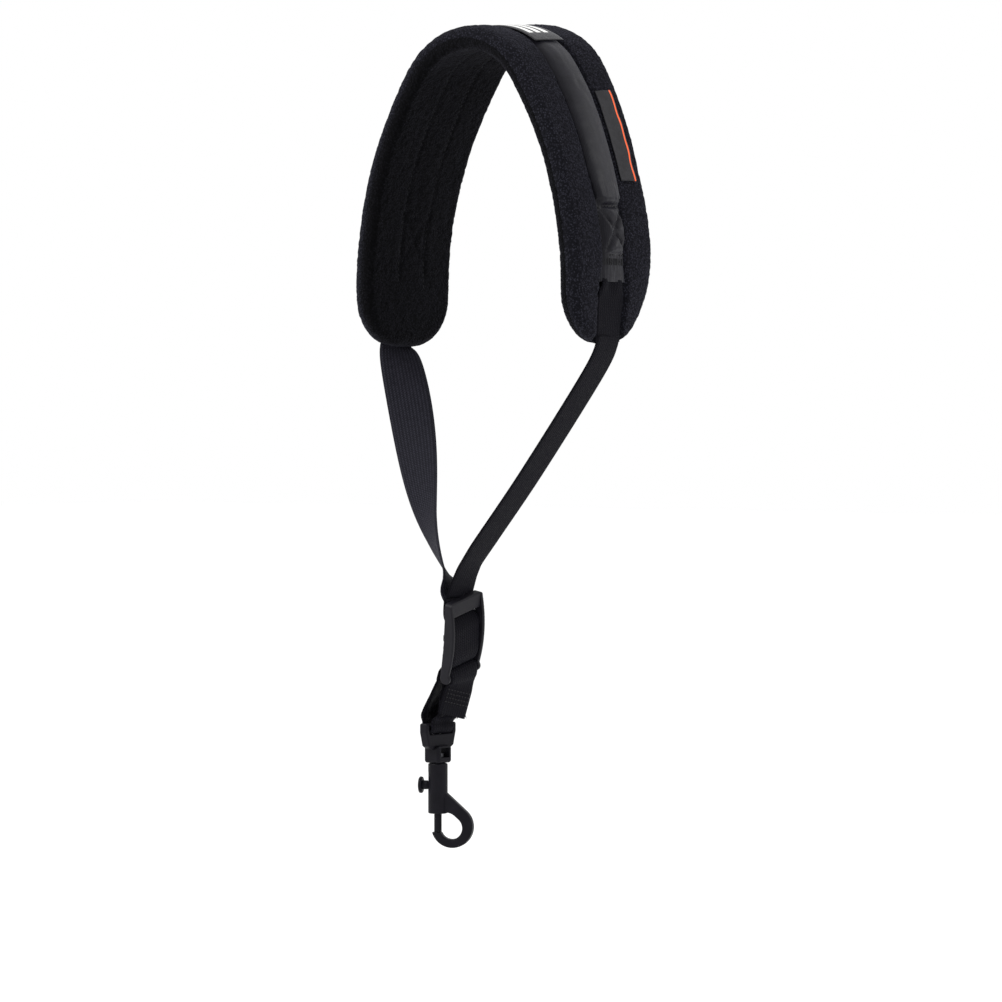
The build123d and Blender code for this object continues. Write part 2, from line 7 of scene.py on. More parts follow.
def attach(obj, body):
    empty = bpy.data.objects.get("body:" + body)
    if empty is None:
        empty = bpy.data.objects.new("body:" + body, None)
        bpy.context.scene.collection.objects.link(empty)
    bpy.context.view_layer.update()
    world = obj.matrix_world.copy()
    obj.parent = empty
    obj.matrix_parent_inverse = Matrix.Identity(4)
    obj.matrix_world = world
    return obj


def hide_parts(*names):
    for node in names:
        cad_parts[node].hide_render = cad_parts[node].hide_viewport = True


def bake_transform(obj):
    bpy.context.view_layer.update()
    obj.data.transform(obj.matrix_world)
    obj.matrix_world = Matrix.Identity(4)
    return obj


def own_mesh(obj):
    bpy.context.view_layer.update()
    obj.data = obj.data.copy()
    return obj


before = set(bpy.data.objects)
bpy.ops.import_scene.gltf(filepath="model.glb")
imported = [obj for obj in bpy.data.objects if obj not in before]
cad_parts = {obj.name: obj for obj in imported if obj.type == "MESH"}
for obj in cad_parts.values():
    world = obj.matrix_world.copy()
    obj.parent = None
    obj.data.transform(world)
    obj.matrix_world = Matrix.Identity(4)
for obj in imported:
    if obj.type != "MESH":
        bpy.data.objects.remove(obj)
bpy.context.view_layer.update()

# Lengths are in millimetres in the design's frame, and meshes are written in metres.
MM = 0.001

# Neck arch, with heights measured outward from the pad's mid-thickness line
INNER_FACE = -6.0
PAD_HALF_WIDTH = 35.5
PAD_HALF_LENGTH = 200.0
CROWN_RADIUS = 44.0
CROWN_TURN = radians(56)
SIDE_RADIUS = 216.0
CROWN_RUN = CROWN_RADIUS * CROWN_TURN
SIDE_RUN = CROWN_RUN + SIDE_RADIUS * (pi / 2 - CROWN_TURN)
CROWN_CENTRE_Z = -INNER_FACE - CROWN_RADIUS
SIDE_CENTRE_X = -(SIDE_RADIUS - CROWN_RADIUS) * sin(CROWN_TURN)
SIDE_CENTRE_Z = CROWN_CENTRE_Z - (SIDE_RADIUS - CROWN_RADIUS) * cos(CROWN_TURN)
TIP_CORNER = PAD_HALF_LENGTH - SIDE_RUN

# How the soft pad sits: the far corner of its right tip turns in, and at the crown its far edge
# stands further right and higher than its near edge
TIP_CURL = 11.0
TIP_CURL_RUN = 148.0
CROWN_SKEW = 3.0
CROWN_TILT = 2.6
CROWN_SKEW_RUNS = (40.0, 110.0)

# Pad covers
EDGE_ROUND = 5.0
LOBE_TOP = 6.6
LOBE_CROWN = 1.0
LOBE_MIDDLE_Y = 23.0
LOBE_HALF_WIDTH = 12.5
CHANNEL_FLOOR = 3.0
SEAM_Y = 10.5
SEAM_RUN = 168.0
NAP_STEP = 1.25

# Webbing, sleeve, sewing and labels
WEBBING_WIDTH = 25.0
WEBBING_THICK = 1.4
WEBBING_MIDDLE = CHANNEL_FLOOR + WEBBING_THICK / 2
SLEEVE_HALF_LENGTH = 167.0
SLEEVE_HALF_WIDTH = 11.6
SLEEVE_CROWN_TOP = 5.6
SLEEVE_ARM_TOP = 9.2
SLEEVE_SEWN_TOP = 5.3
SLEEVE_RISE_RUN = 70.0
SLEEVE_FALL_RUNS = (104.0, 125.0)
SLEEVE_PUFF = 4.2
SLEEVE_NARROWING = 2.2
SLEEVE_FAN = 2.8
STITCH_BOX_RUNS = (127.0, 153.0)
STITCH_BOX_HALF = 8.6
SIDE_LABEL_RUNS = (62.0, 113.0)
SIDE_LABEL_SIDES = (13.4, 25.4)
TOP_LABEL_RUNS = (-19.5, 29.5)
TOP_LABEL_HALF_WIDTH = 11.5

# Ladder lock and hook
LOCK_TOP = Vector((-5.6, -26.6, -301.0))
LOCK_X = Vector((-0.049, 0.966, 0.242)).normalized()
LOCK_Z = Vector((0.973, 0.100, -0.205)).normalized()
LOCK_Y = LOCK_Z.cross(LOCK_X).normalized()
BOTTOM_BAR = (-43.0, -1.3)
FOLD_RADIUS = 2.65
THREADED_ROUTE = [(0.5, -3.7), (-9, -3.6), (-15.5, 0.8), (-20.5, 1.2), (-26, 1.2), (-33.5, 1.1),
                  (-38.1, -1.1), (-40.3, -5.4), (-43, -6.7), (-47, -7.6)]
HOOK_X = -30.0
HOOK_Y = -20.0
EYE_BAR_Z = -373.0
BIGHT_RADIUS = 3.3
BIGHT_WIDTH = 19.0
SPRING_TOP = -396.8
SPRING_BOTTOM = -409.0
SPRING_RADIUS = 2.35
SPRING_WIRE = 0.3
SPRING_TURNS = 6

# Webbing below the lock: its width direction, and both ends of the sewn tail and of the front strand's top
LEVEL = Vector((0, 1, 0.05))
TAIL_TOP = Vector((-18.1, -16.0, -351.5))
TAIL_END = Vector((-21.2, -19.2, -367))
STRAND_TOP = Vector((-20.0, -16.2, -351.5))
STRAND_END = Vector((-21.8, -17.9, -359))

# Camera: a long lens from the front right, level with the strap
VIEW_TURN = radians(40)
VIEW_RISE = radians(1)
VIEW_DISTANCE = 2.4
VIEW_WIDTH = 0.551
VIEW_TARGET = Vector((-0.0008, -0.0007, -0.2487))
FLOOR_Z = -0.62


# ---------------------------------------------------------------- shapes


def arch_frame(run, height, across=0.0):
    """Point, outward normal and along direction on the arch at a run and height."""
    side = 1 if run >= 0 else -1
    far = abs(run)
    if far > SIDE_RUN:
        turn = pi / 2
        centre = (SIDE_CENTRE_X, SIDE_CENTRE_Z - (far - SIDE_RUN))
        radius = SIDE_RADIUS
    elif far > CROWN_RUN:
        turn = CROWN_TURN + (far - CROWN_RUN) / SIDE_RADIUS
        centre = (SIDE_CENTRE_X, SIDE_CENTRE_Z)
        radius = SIDE_RADIUS
    else:
        turn = far / CROWN_RADIUS
        centre = (0.0, CROWN_CENTRE_Z)
        radius = CROWN_RADIUS
    normal = Vector((side * sin(turn), 0, cos(turn)))
    point = Vector((side * centre[0] + normal.x * (radius + height), across,
                    centre[1] + normal.z * (radius + height)))
    share = min(max((across + PAD_HALF_WIDTH) / (2 * PAD_HALF_WIDTH), 0.0), 1.0)
    point.x -= TIP_CURL * smooth(TIP_CURL_RUN, PAD_HALF_LENGTH, run) * share ** 1.5
    crown = 1 - smooth(*CROWN_SKEW_RUNS, far)
    point.x += CROWN_SKEW * crown * share ** 1.5
    point.z += CROWN_TILT * crown * (2 * share - 1)
    along = Vector((cos(turn), 0, -side * sin(turn)))
    return point, normal, along


def smooth(low, high, value):
    """Smooth step from 0 at low to 1 at high."""
    part = min(max((value - low) / (high - low), 0.0), 1.0)
    return part * part * (3 - 2 * part)


def ripple(x, y, z, scale, seed=0.0):
    """Smooth noise in about -1 to 1 whose features are scale millimetres wide."""
    return noise.noise(Vector((x / scale + seed, y / scale - seed, z / scale + 2 * seed)))


def make_object(name, points, faces, marks=None):
    """Smooth mesh object from points in millimetres, with named values on its points."""
    mesh = bpy.data.meshes.new(name)
    mesh.from_pydata([Vector(point) * MM for point in points], [], faces)
    for key, values in (marks or {}).items():
        mesh.attributes.new(key, "FLOAT", "POINT").data.foreach_set("value", values)
    mesh.shade_smooth()
    piece = bpy.data.objects.new(name, mesh)
    bpy.context.scene.collection.objects.link(piece)
    return piece


def weld(piece, distance=0.01):
    """Join points that meet, and turn every face outward."""
    shape = bmesh.new()
    shape.from_mesh(piece.data)
    bmesh.ops.remove_doubles(shape, verts=shape.verts, dist=distance * MM)
    bmesh.ops.dissolve_degenerate(shape, edges=shape.edges, dist=0.001 * MM)
    bmesh.ops.recalc_face_normals(shape, faces=shape.faces)
    shape.to_mesh(piece.data)
    shape.free()
    return piece


def loops_to_faces(rows, columns, first=0):
    """Quads of a tube of rows, each a closed loop of columns points, with both ends capped."""
    faces = []
    for row in range(rows - 1):
        for column in range(columns):
            after = (column + 1) % columns
            low = first + row * columns
            faces.append((low + column, low + after, low + columns + after, low + columns + column))
    faces.append(tuple(first + column for column in reversed(range(columns))))
    last = first + (rows - 1) * columns
    faces.append(tuple(last + column for column in range(columns)))
    return faces


def smooth_route(points, step):
    """Points every step millimetres along a smooth line through the given points."""
    route = []
    count = len(points)
    for index in range(count - 1):
        before = points[max(index - 1, 0)]
        start = points[index]
        end = points[index + 1]
        after = points[min(index + 2, count - 1)]
        parts = max(int((end - start).length / step), 1)
        for part in range(parts):
            t = part / parts
            slope = (end - before) * t
            curve = (2 * before - 5 * start + 4 * end - after) * t * t
            twist = (3 * start - before - 3 * end + after) * t ** 3
            route.append(0.5 * (2 * start + slope + curve + twist))
    route.append(points[-1].copy())
    return route


def tape_section(half_width, half_thick, columns):
    """Outline of a flat tape with round edges, as pairs of across and height."""
    top = []
    for column in range(columns + 1):
        across = -half_width + 2 * half_width * column / columns
        rim = max(0.0, abs(across) - (half_width - half_thick)) / half_thick
        top.append((across, half_thick * sqrt(max(0.0, 1 - rim * rim)) * 0.96 + 0.04 * half_thick))
    return top + [(across, -height) for across, height in reversed(top)]


def tape(name, centres, sides, widths, thick=WEBBING_THICK, columns=14, cup=0.0, folds=None):
    """Flat woven tape through centres, each with its width direction, width and depth of folds."""
    points, along_marks, across_marks = [], [], []
    travelled = 0.0
    for index, centre in enumerate(centres):
        before = centres[max(index - 1, 0)]
        after = centres[min(index + 1, len(centres) - 1)]
        run = (after - before).normalized()
        side = (sides[index] - run * sides[index].dot(run)).normalized()
        face = side.cross(run)
        travelled += (centre - before).length
        for across, height in tape_section(widths[index] / 2, thick / 2, columns):
            bend = cup * (2 * across / widths[index]) ** 2
            if folds:
                bend += folds[index] * cos(3 * pi * across / widths[index] + 0.6)
            points.append(centre + side * across + face * (height + bend))
            along_marks.append(travelled)
            across_marks.append(across)
    faces = loops_to_faces(len(centres), 2 * columns + 2)
    return make_object(name, points, faces, {"along": along_marks, "across": across_marks})


def stitches(name, runs, length=2.4, gap=0.7, radius=0.32):
    """Sewn thread: a short rounded stitch at every step of each (points, normals) run."""
    points, faces = [], []
    ring = 6
    for line, normals in runs:
        travelled = 0.0
        start = 0
        for index in range(1, len(line)):
            travelled += (line[index] - line[index - 1]).length
            if travelled < length and index < len(line) - 1:
                continue
            first, last = line[start], line[index]
            travelled = 0.0
            start = index
            if (last - first).length < 0.3 * length:
                continue
            way = (last - first).normalized()
            first = first + way * gap / 2
            last = last - way * gap / 2
            out = normals[index]
            side = way.cross(out).normalized()
            base = len(points)
            for part, swell, lift in ((0.0, 0.35, -0.3), (0.2, 0.95, 0.15), (0.5, 1.0, 0.35),
                                      (0.8, 0.95, 0.15), (1.0, 0.35, -0.3)):
                middle = first.lerp(last, part) + out * lift * radius
                for corner in range(ring):
                    turn = 2 * pi * corner / ring
                    points.append(middle + (side * cos(turn) + out * sin(turn)) * radius * swell)
            faces += loops_to_faces(5, ring, base)
    return make_object(name, points, faces)


# ---------------------------------------------------------------- materials


def shader(name, colour, roughness, specular=0.5, sheen=0.0, sheen_roughness=0.4, sheen_colour=(1, 1, 1)):
    """New node material and its main shader, with its constant values set on the shader."""
    material = bpy.data.materials.new(name)
    material.use_nodes = True
    main = material.node_tree.nodes["Principled BSDF"]
    main.inputs["Base Color"].default_value = (*colour, 1)
    main.inputs["Roughness"].default_value = roughness
    main.inputs["Specular IOR Level"].default_value = specular
    main.inputs["Sheen Weight"].default_value = sheen
    main.inputs["Sheen Roughness"].default_value = sheen_roughness
    main.inputs["Sheen Tint"].default_value = (*sheen_colour, 1)
    return material, main


def node(material, kind, **settings):
    """New node, with its named inputs or properties set."""
    made = material.node_tree.nodes.new("ShaderNode" + kind)
    for key, value in settings.items():
        label = key.replace("_", " ")
        if label in made.inputs:
            made.inputs[label].default_value = value
        else:
            setattr(made, key, value)
    return made


def link(material, source, target):
    """Join one socket to another."""
    material.node_tree.links.new(source, target)


def place(material):
    """The piece's own coordinates, in metres."""
    return node(material, "TexCoord").outputs["Object"]


def mark(material, name):
    """A value stored on the piece's points."""
    return node(material, "Attribute", attribute_name=name).outputs["Fac"]


def math(material, operation, first, second=None):
    """Math node on sockets or numbers."""
    made = node(material, "Math", operation=operation)
    for slot, value in zip(made.inputs, (first, second)):
        if value is None:
            continue
        if isinstance(value, (int, float)):
            slot.default_value = value
        else:
            link(material, value, slot)
    return made.outputs[0]


def grain(material, size, detail=3.0, rough=0.6):
    """Noise whose features are size millimetres wide."""
    made = node(material, "TexNoise", Scale=1 / (size * MM), Detail=detail, Roughness=rough)
    link(material, place(material), made.inputs["Vector"])
    return made.outputs["Fac"]


def ramp(material, source, low, high, out_low, out_high):
    """Map a range of values onto another."""
    made = node(material, "MapRange")
    for name, value in (("From Min", low), ("From Max", high), ("To Min", out_low), ("To Max", out_high)):
        made.inputs[name].default_value = value
    link(material, source, made.inputs["Value"])
    return made.outputs["Result"]


def tint(material, main, source, dark, light):
    """Base colour that runs from dark to light with a value from 0 to 1."""
    made = node(material, "Mix", data_type="RGBA")
    ends = [socket for socket in made.inputs if socket.type == "RGBA"]
    ends[0].default_value = (*dark, 1)
    ends[1].default_value = (*light, 1)
    link(material, source, made.inputs["Factor"])
    colour = [socket for socket in made.outputs if socket.type == "RGBA"][0]
    link(material, colour, main.inputs["Base Color"])


def bump(material, main, height, depth, strength=1.0):
    """Surface relief of a height from 0 to 1, depth millimetres deep."""
    made = node(material, "Bump", Strength=strength, Distance=depth * MM)
    link(material, height, made.inputs["Height"])
    previous = main.inputs["Normal"]
    if previous.is_linked:
        link(material, previous.links[0].from_socket, made.inputs["Normal"])
    link(material, made.outputs["Normal"], main.inputs["Normal"])


def wave(material, coordinate, pitch):
    """Rounded ridges from 0 to 1 along a coordinate in millimetres."""
    turned = math(material, "MULTIPLY_ADD", coordinate, 2 * pi / pitch)
    turned.node.inputs[2].default_value = 0.0
    return math(material, "MULTIPLY_ADD", math(material, "SINE", turned), 0.5)


def plush(name, dark, light):
    """Short black loop pile: fine tufts, with a faint cold shine at a glancing angle."""
    material, main = shader(name, light, 0.95, 0.06, 0.05, 0.35, (0.6, 0.6, 0.8))
    tufts = node(material, "TexVoronoi", Scale=1 / (1.15 * MM), Randomness=1.0)
    link(material, place(material), tufts.inputs["Vector"])
    fibre = grain(material, 0.55, 4.0, 0.7)
    pile = math(material, "MULTIPLY", math(material, "SUBTRACT", 1.1, tufts.outputs["Distance"]), fibre)
    tint(material, main, ramp(material, pile, 0.3, 0.75, 0.0, 1.0), dark, light)
    bump(material, main, pile, 1.0, 0.9)
    bump(material, main, grain(material, 7.0, 2.0), 1.2, 0.35)
    return material


def webbing_material(name, dark, light):
    """Black nylon webbing: warp columns crossed by fine ribs, each other column half a rib on."""
    material, main = shader(name, light, 0.62, 0.03, 0.012, 0.4, (0.7, 0.7, 1.0))
    along = mark(material, "along")
    across = mark(material, "across")
    columns = wave(material, across, 1.9)
    half_step = math(material, "MULTIPLY", ramp(material, columns, 0.45, 0.55, 0.0, 1.0), 0.75)
    ribs = wave(material, math(material, "ADD", along, half_step), 1.5)
    high_ribs = math(material, "ADD", ribs, 0.35)
    yarn = math(material, "MULTIPLY", high_ribs, math(material, "ADD", columns, 0.55))
    mottle = grain(material, 2.2, 3.0)
    shade = math(material, "MULTIPLY", yarn, ramp(material, mottle, 0.3, 0.7, 0.55, 1.1))
    tint(material, main, ramp(material, shade, 0.1, 1.5, 0.0, 1.0), dark, light)
    link(material, ramp(material, mottle, 0.3, 0.7, 0.55, 0.72), main.inputs["Roughness"])
    bump(material, main, yarn, 0.22, 0.7)
    return material


def satin_material(name, colour, light, creases):
    """Smooth satin with fine lengthwise floats and shallow creases, with painted shade towards its front
    edge: darker colour and less shine there.
    """
    material, main = shader(name, colour, 0.36, 0.2, 0.05, 0.3, (0.7, 0.7, 1.0))
    main.inputs["Anisotropic"].default_value = 0.4
    across = mark(material, "across")
    floats = math(material, "MULTIPLY", wave(material, across, 0.62), grain(material, 1.4, 3.0))
    mottle = grain(material, 6.0, 3.0)
    # Painted shade: towards the front edge the colour drops to half and the shine falls, standing in for
    # light falling off across the sleeve.
    painted_front_shade_fade = ramp(material, across, -9.5, -1.0, 0.0, 1.0)
    shade = ramp(material, math(material, "ADD", floats, mottle), 0.4, 1.3, 0.2, 1.0)
    shade = math(material, "MULTIPLY", shade, ramp(material, painted_front_shade_fade, 0.0, 1.0, 0.5, 1.0))
    tint(material, main, shade, colour, light)
    link(material, ramp(material, painted_front_shade_fade, 0.0, 1.0, 0.1, 0.24), main.inputs["Specular IOR Level"])
    link(material, ramp(material, mottle, 0.3, 0.7, 0.36, 0.52), main.inputs["Roughness"])
    bump(material, main, floats, 0.08, 0.6)
    bump(material, main, mottle, creases, 0.5)
    return material


def plastic(name, shine, dark, light):
    """Moulded black plastic with a fine spark-eroded texture."""
    material, main = shader(name, light, 0.4, shine)
    fine = grain(material, 0.35, 4.0, 0.7)
    broad = grain(material, 9.0, 3.0)
    tint(material, main, ramp(material, broad, 0.3, 0.7, 0.0, 1.0), dark, light)
    link(material, ramp(material, broad, 0.3, 0.7, 0.4, 0.56), main.inputs["Roughness"])
    bump(material, main, fine, 0.06, 0.5)
    return material


def thread():
    """Twisted black sewing thread."""
    material, main = shader("thread", (0.006, 0.006, 0.007), 0.6, 0.12, 0.04, 0.4)
    twist = grain(material, 0.3, 3.0)
    shade = ramp(material, twist, 0.35, 0.65, 0.0, 1.0)
    tint(material, main, shade, (0.003, 0.003, 0.0038), (0.012, 0.012, 0.014))
    bump(material, main, twist, 0.1, 0.6)
    return material


def label_material(name, light_bars, edge_band):
    """Woven label; light_bars are plain bars as (low, high, start, end) in mm, edge_band an orange edge."""
    material, main = shader(name, (0.008, 0.008, 0.01), 0.36, 0.2, 0.04, 0.3, (0.7, 0.7, 1.0))
    along = mark(material, "along")
    across = mark(material, "across")
    weave = math(material, "MULTIPLY", wave(material, across, 0.45), wave(material, along, 0.5))
    mottle = grain(material, 4.0, 3.0)
    shine = math(material, "ADD", math(material, "MULTIPLY", weave, 0.4), mottle)
    bump(material, main, weave, 0.08, 0.5)
    bump(material, main, mottle, 0.6, 0.4)
    shade = ramp(material, shine, 0.3, 1.1, 0.0, 1.0)
    tint(material, main, shade, (0.0025, 0.0024, 0.0034), (0.0135, 0.0128, 0.0168))
    paints = []
    for low, high, start, end in light_bars:
        paints.append(((0.78, 0.78, 0.76), [(across, low, high), (along, start, end)]))
    if edge_band:
        paints.append(((0.80, 0.115, 0.03), [(across, *edge_band)]))
    for colour, limits in paints:
        mask = None
        for coordinate, low, high in limits:
            inside = math(material, "MULTIPLY", math(material, "GREATER_THAN", coordinate, low),
                          math(material, "LESS_THAN", coordinate, high))
            mask = inside if mask is None else math(material, "MULTIPLY", mask, inside)
        under = main.inputs["Base Color"].links[0].from_socket
        made = node(material, "Mix", data_type="RGBA")
        colours = [socket for socket in made.inputs if socket.type == "RGBA"]
        link(material, under, colours[0])
        colours[1].default_value = (*colour, 1)
        link(material, mask, made.inputs["Factor"])
        painted = [socket for socket in made.outputs if socket.type == "RGBA"][0]
        link(material, painted, main.inputs["Base Color"])
    return material


# ---------------------------------------------------------------- pad


def plan_half_width(run):
    """Half the pad's width at a run, rounded towards the tips."""
    past = max(abs(run) - SIDE_RUN, 0.0)
    return PAD_HALF_WIDTH - TIP_CORNER + sqrt(max(TIP_CORNER ** 2 - past ** 2, 0.0))


def edge_distance(run, across):
    """Distance inside the pad's plan outline."""
    q_run = abs(run) - (PAD_HALF_LENGTH - TIP_CORNER)
    q_across = abs(across) - (PAD_HALF_WIDTH - TIP_CORNER)
    outside = hypot(max(q_run, 0.0), max(q_across, 0.0))
    return max(TIP_CORNER - outside - min(max(q_run, q_across), 0.0), 0.0)


def edge_rise(distance):
    """Share of full thickness at a distance from the edge."""
    part = min(distance / EDGE_ROUND, 1.0)
    return sqrt(1 - (1 - part) ** 2)


def box_seam_distance(run, across):
    """Distance to the sewn box and its diagonals on either arm."""
    middle = sum(STITCH_BOX_RUNS) / 2
    half = (STITCH_BOX_RUNS[1] - STITCH_BOX_RUNS[0]) / 2
    x = abs(run) - middle
    y = across
    diagonal = hypot(half, STITCH_BOX_HALF)
    if abs(x) > half + 4 or abs(y) > STITCH_BOX_HALF + 4:
        return 9.0
    sides = min(abs(abs(x) - half), abs(abs(y) - STITCH_BOX_HALF))
    crosses = min(abs(x * STITCH_BOX_HALF - y * half), abs(x * STITCH_BOX_HALF + y * half)) / diagonal
    return min(sides, crosses)


def sleeve_half_width(run):
    """Half the sleeve's width, drawn in where its ends are sewn and spread again past the bartack."""
    drawn = SLEEVE_NARROWING * smooth(*SLEEVE_FALL_RUNS, abs(run))
    fan = SLEEVE_FAN * smooth(STITCH_BOX_RUNS[1] + 5, SLEEVE_HALF_LENGTH, abs(run))
    return SLEEVE_HALF_WIDTH - drawn + fan


def channel_edge(run):
    """Half width of the channel: the sleeve's, then the bare webbing's towards the tips."""
    opening = smooth(SLEEVE_HALF_LENGTH - 2, SLEEVE_HALF_LENGTH + 9, abs(run))
    sleeve_edge = sleeve_half_width(run) - 0.7
    return sleeve_edge + (WEBBING_WIDTH / 2 + 0.6 - sleeve_edge) * opening


def outer_height(run, across):
    """Outer face of the pad: two margin lobes with the sleeve's channel between them."""
    off = (abs(across) - LOBE_MIDDLE_Y) / LOBE_HALF_WIDTH
    lobe = LOBE_TOP - LOBE_CROWN * off * off
    edge = channel_edge(run)
    wall = smooth(edge, edge + 1.8, abs(across))
    height = CHANNEL_FLOOR - 0.4 + (lobe - CHANNEL_FLOOR + 0.4) * wall
    height += 0.5 * ripple(run, across, 0, 22.0, 3.0) * wall
    return height


def inner_height(run, across):
    """Neck face of the pad, pulled in along two seams and round each sewn box."""
    height = -INNER_FACE + 0.3
    seam = exp(-(((abs(across) - SEAM_Y) / 1.5) ** 2))
    height -= 0.5 * seam * (1 - smooth(SEAM_RUN - 6, SEAM_RUN, abs(run)))
    height -= 0.6 * exp(-((box_seam_distance(run, across) / 1.4) ** 2))
    return height + 0.4 * ripple(run, across, 5, 20.0, 7.0)


def nap(run, across, seed):
    """Uneven surface of the pile."""
    tuft = ripple(run, across, 0.5, 1.3, seed)
    return 0.42 * tuft + 0.22 * ripple(run, across, 1.5, 3.1, seed)


def pad_cover(name, height, facing, seed):
    """One plush cover, closed along the pad's middle, facing 1 outward or -1 to the neck."""
    rows = int(2 * PAD_HALF_LENGTH / NAP_STEP)
    columns = int(2 * PAD_HALF_WIDTH / NAP_STEP) + 8
    points = []
    for layer in (1, 0):
        for row in range(rows + 1):
            eased = PAD_HALF_LENGTH * sin(pi * (row / rows - 0.5))
            even = PAD_HALF_LENGTH * (2 * row / rows - 1)
            run = eased * 0.35 + even * 0.65
            half = plan_half_width(run)
            for column in range(columns + 1):
                part = 2 * column / columns - 1
                across = half * (0.7 * part + 0.3 * sin(part * pi / 2))
                distance = edge_distance(run, across)
                rise = edge_rise(distance)
                lift = -1.5 * rise
                if layer:
                    lift = height(run, across) * rise + nap(run, across, seed) * min(rise * 1.5, 1.0)
                point, normal, along = arch_frame(run, facing * lift, across)
                if distance < 0.5 * EDGE_ROUND:
                    fuzz = 0.3 * ripple(run, across, 9, 1.4, seed + 5) * (1 - distance / (0.5 * EDGE_ROUND))
                    point = point + Vector((0, fuzz, 0)) + along * fuzz
                points.append(point)
    width = columns + 1
    size = (rows + 1) * width
    faces = []
    for layer in range(2):
        for row in range(rows):
            for column in range(columns):
                low = layer * size + row * width + column
                faces.append((low, low + 1, low + width + 1, low + width))
    piece = make_object(name, points, faces)
    weld(piece)
    return piece


def sleeve_top(run):
    """Height of the sleeve: low at the crown, full on the arms, flat where its ends are sewn down."""
    full = SLEEVE_CROWN_TOP + (SLEEVE_ARM_TOP - SLEEVE_CROWN_TOP) * smooth(0, SLEEVE_RISE_RUN, abs(run))
    return full + (SLEEVE_SEWN_TOP - full) * smooth(*SLEEVE_FALL_RUNS, abs(run))


def sleeve_height(run, across):
    """Surface of the sleeve: crowned along the arms, then quilted by the sewn box."""
    sewn = smooth(*SLEEVE_FALL_RUNS, abs(run))
    share = min(abs(across) / sleeve_half_width(run), 1.0)
    crowned = max(1 - share ** 2.1, 0.0) ** (0.45 - 0.2 * sewn)
    base = CHANNEL_FLOOR + 0.2
    panel = 1 - exp(-((box_seam_distance(run, across) / 1.7) ** 2))
    open_end = 1 - smooth(STITCH_BOX_RUNS[1] - 0.5, STITCH_BOX_RUNS[1] + 1.5, abs(run))
    puff = SLEEVE_PUFF * panel * sewn * open_end
    crease = ripple(run, across * 2.2, 0, 9.0, 4.0) * 0.3
    gather = sewn * (0.35 * ripple(run, across * 2.5, 2, 4.0, 9.0) + 0.2 * sin(across * 2.3))
    return base + (sleeve_top(run) - base + puff + crease + gather) * crowned


def sleeve():
    """Satin sleeve down the pad's outer face, its ends gathered and sewn through the webbing."""
    rows = 440
    columns = 34
    points, across_marks = [], []
    for row in range(rows + 1):
        run = SLEEVE_HALF_LENGTH * (2 * row / rows - 1)
        half = sleeve_half_width(run)
        for column in range(columns + 1):
            across = half * sin(pi * (column / columns - 0.5))
            points.append(arch_frame(run, sleeve_height(run, across), across)[0])
            across_marks.append(across)
        for column in range(1, columns):
            across = half * sin(pi * (0.5 - column / columns))
            points.append(arch_frame(run, CHANNEL_FLOOR + 0.1, across)[0])
            across_marks.append(across)
    piece = make_object("sleeve", points, loops_to_faces(rows + 1, 2 * columns), {"across": across_marks})
    weld(piece)
    return piece


def neck_tape():
    """Webbing along the pad's outer face, which comes out gathered from both ends of the sleeve."""
    count = 400
    centres, sides, widths, folds = [], [], [], []
    for index in range(count + 1):
        run = (PAD_HALF_LENGTH - 1) * (2 * index / count - 1)
        spread = smooth(SLEEVE_HALF_LENGTH - 3, SLEEVE_HALF_LENGTH + 11, abs(run))
        half = WEBBING_WIDTH / 2
        edges = [arch_frame(run, WEBBING_MIDDLE, across)[0] for across in (-half, half)]
        out = smooth(SLEEVE_HALF_LENGTH - 4, SLEEVE_HALF_LENGTH + 1, abs(run))
        centres.append(arch_frame(run, WEBBING_MIDDLE - 0.3 + 0.6 * out + 0.6 * out * (1 - spread))[0])
        sides.append((edges[1] - edges[0]).normalized())
        widths.append(WEBBING_WIDTH + 1 - 8.0 * (1 - spread))
        folds.append(0.9 * out * (1 - spread))
    return tape("pad_webbing", centres, sides, widths, columns=22, folds=folds)


def seam_run(start, end, height, count=120):
    """Line of points with their normals between two (run, across) places."""
    line, normals = [], []
    for index in range(count + 1):
        part = index / count
        run = start[0] + (end[0] - start[0]) * part
        across = start[1] + (end[1] - start[1]) * part
        point, normal, along = arch_frame(run, height(run, across), across)
        line.append(point)
        normals.append(normal if height(run, across) > 0 else -normal)
    return line, normals


def box_seams(side):
    """Sewn rectangle with diagonals on one arm's webbing."""
    top, bottom = [side * run for run in STITCH_BOX_RUNS]
    half = STITCH_BOX_HALF
    level = sleeve_height
    corners = [(top, -half), (top, half), (bottom, half), (bottom, -half)]
    runs = [seam_run(corners[index], corners[(index + 1) % 4], level) for index in range(4)]
    runs += [seam_run(corners[0], corners[2], level), seam_run(corners[1], corners[3], level)]
    return runs


def bartack_seams(side):
    """Close zigzag rows just below the sewn box."""
    runs = []
    for row in range(7):
        run = side * (STITCH_BOX_RUNS[1] + 2.0 + 0.5 * row)
        half = STITCH_BOX_HALF + 0.8
        runs.append(seam_run((run, -half), (run, half), sleeve_height, 60))
    return runs


def label(name, run_range, across_range, height, columns=18, rows=60, thick=0.5):
    """Thin woven label that follows a surface given as height(run, across)."""
    points, along_marks, across_marks = [], [], []
    start, end = run_range
    low, high = across_range
    for row in range(rows + 1):
        run = start + (end - start) * row / rows
        for face in (1, -1):
            for column in range(columns + 1):
                part = column / columns if face > 0 else 1 - column / columns
                across = low + (high - low) * part
                level = height(run, across) + face * thick / 2
                points.append(arch_frame(run, level, across)[0])
                along_marks.append(run - (start + end) / 2)
                across_marks.append(across - (low + high) / 2)
    faces = loops_to_faces(rows + 1, 2 * columns + 2)
    return make_object(name, points, faces, {"along": along_marks, "across": across_marks})


def top_label_height(run, across):
    """The crown label lies over the sleeve."""
    return sleeve_top(run) + 0.75 - 0.25 * (across / TOP_LABEL_HALF_WIDTH) ** 4


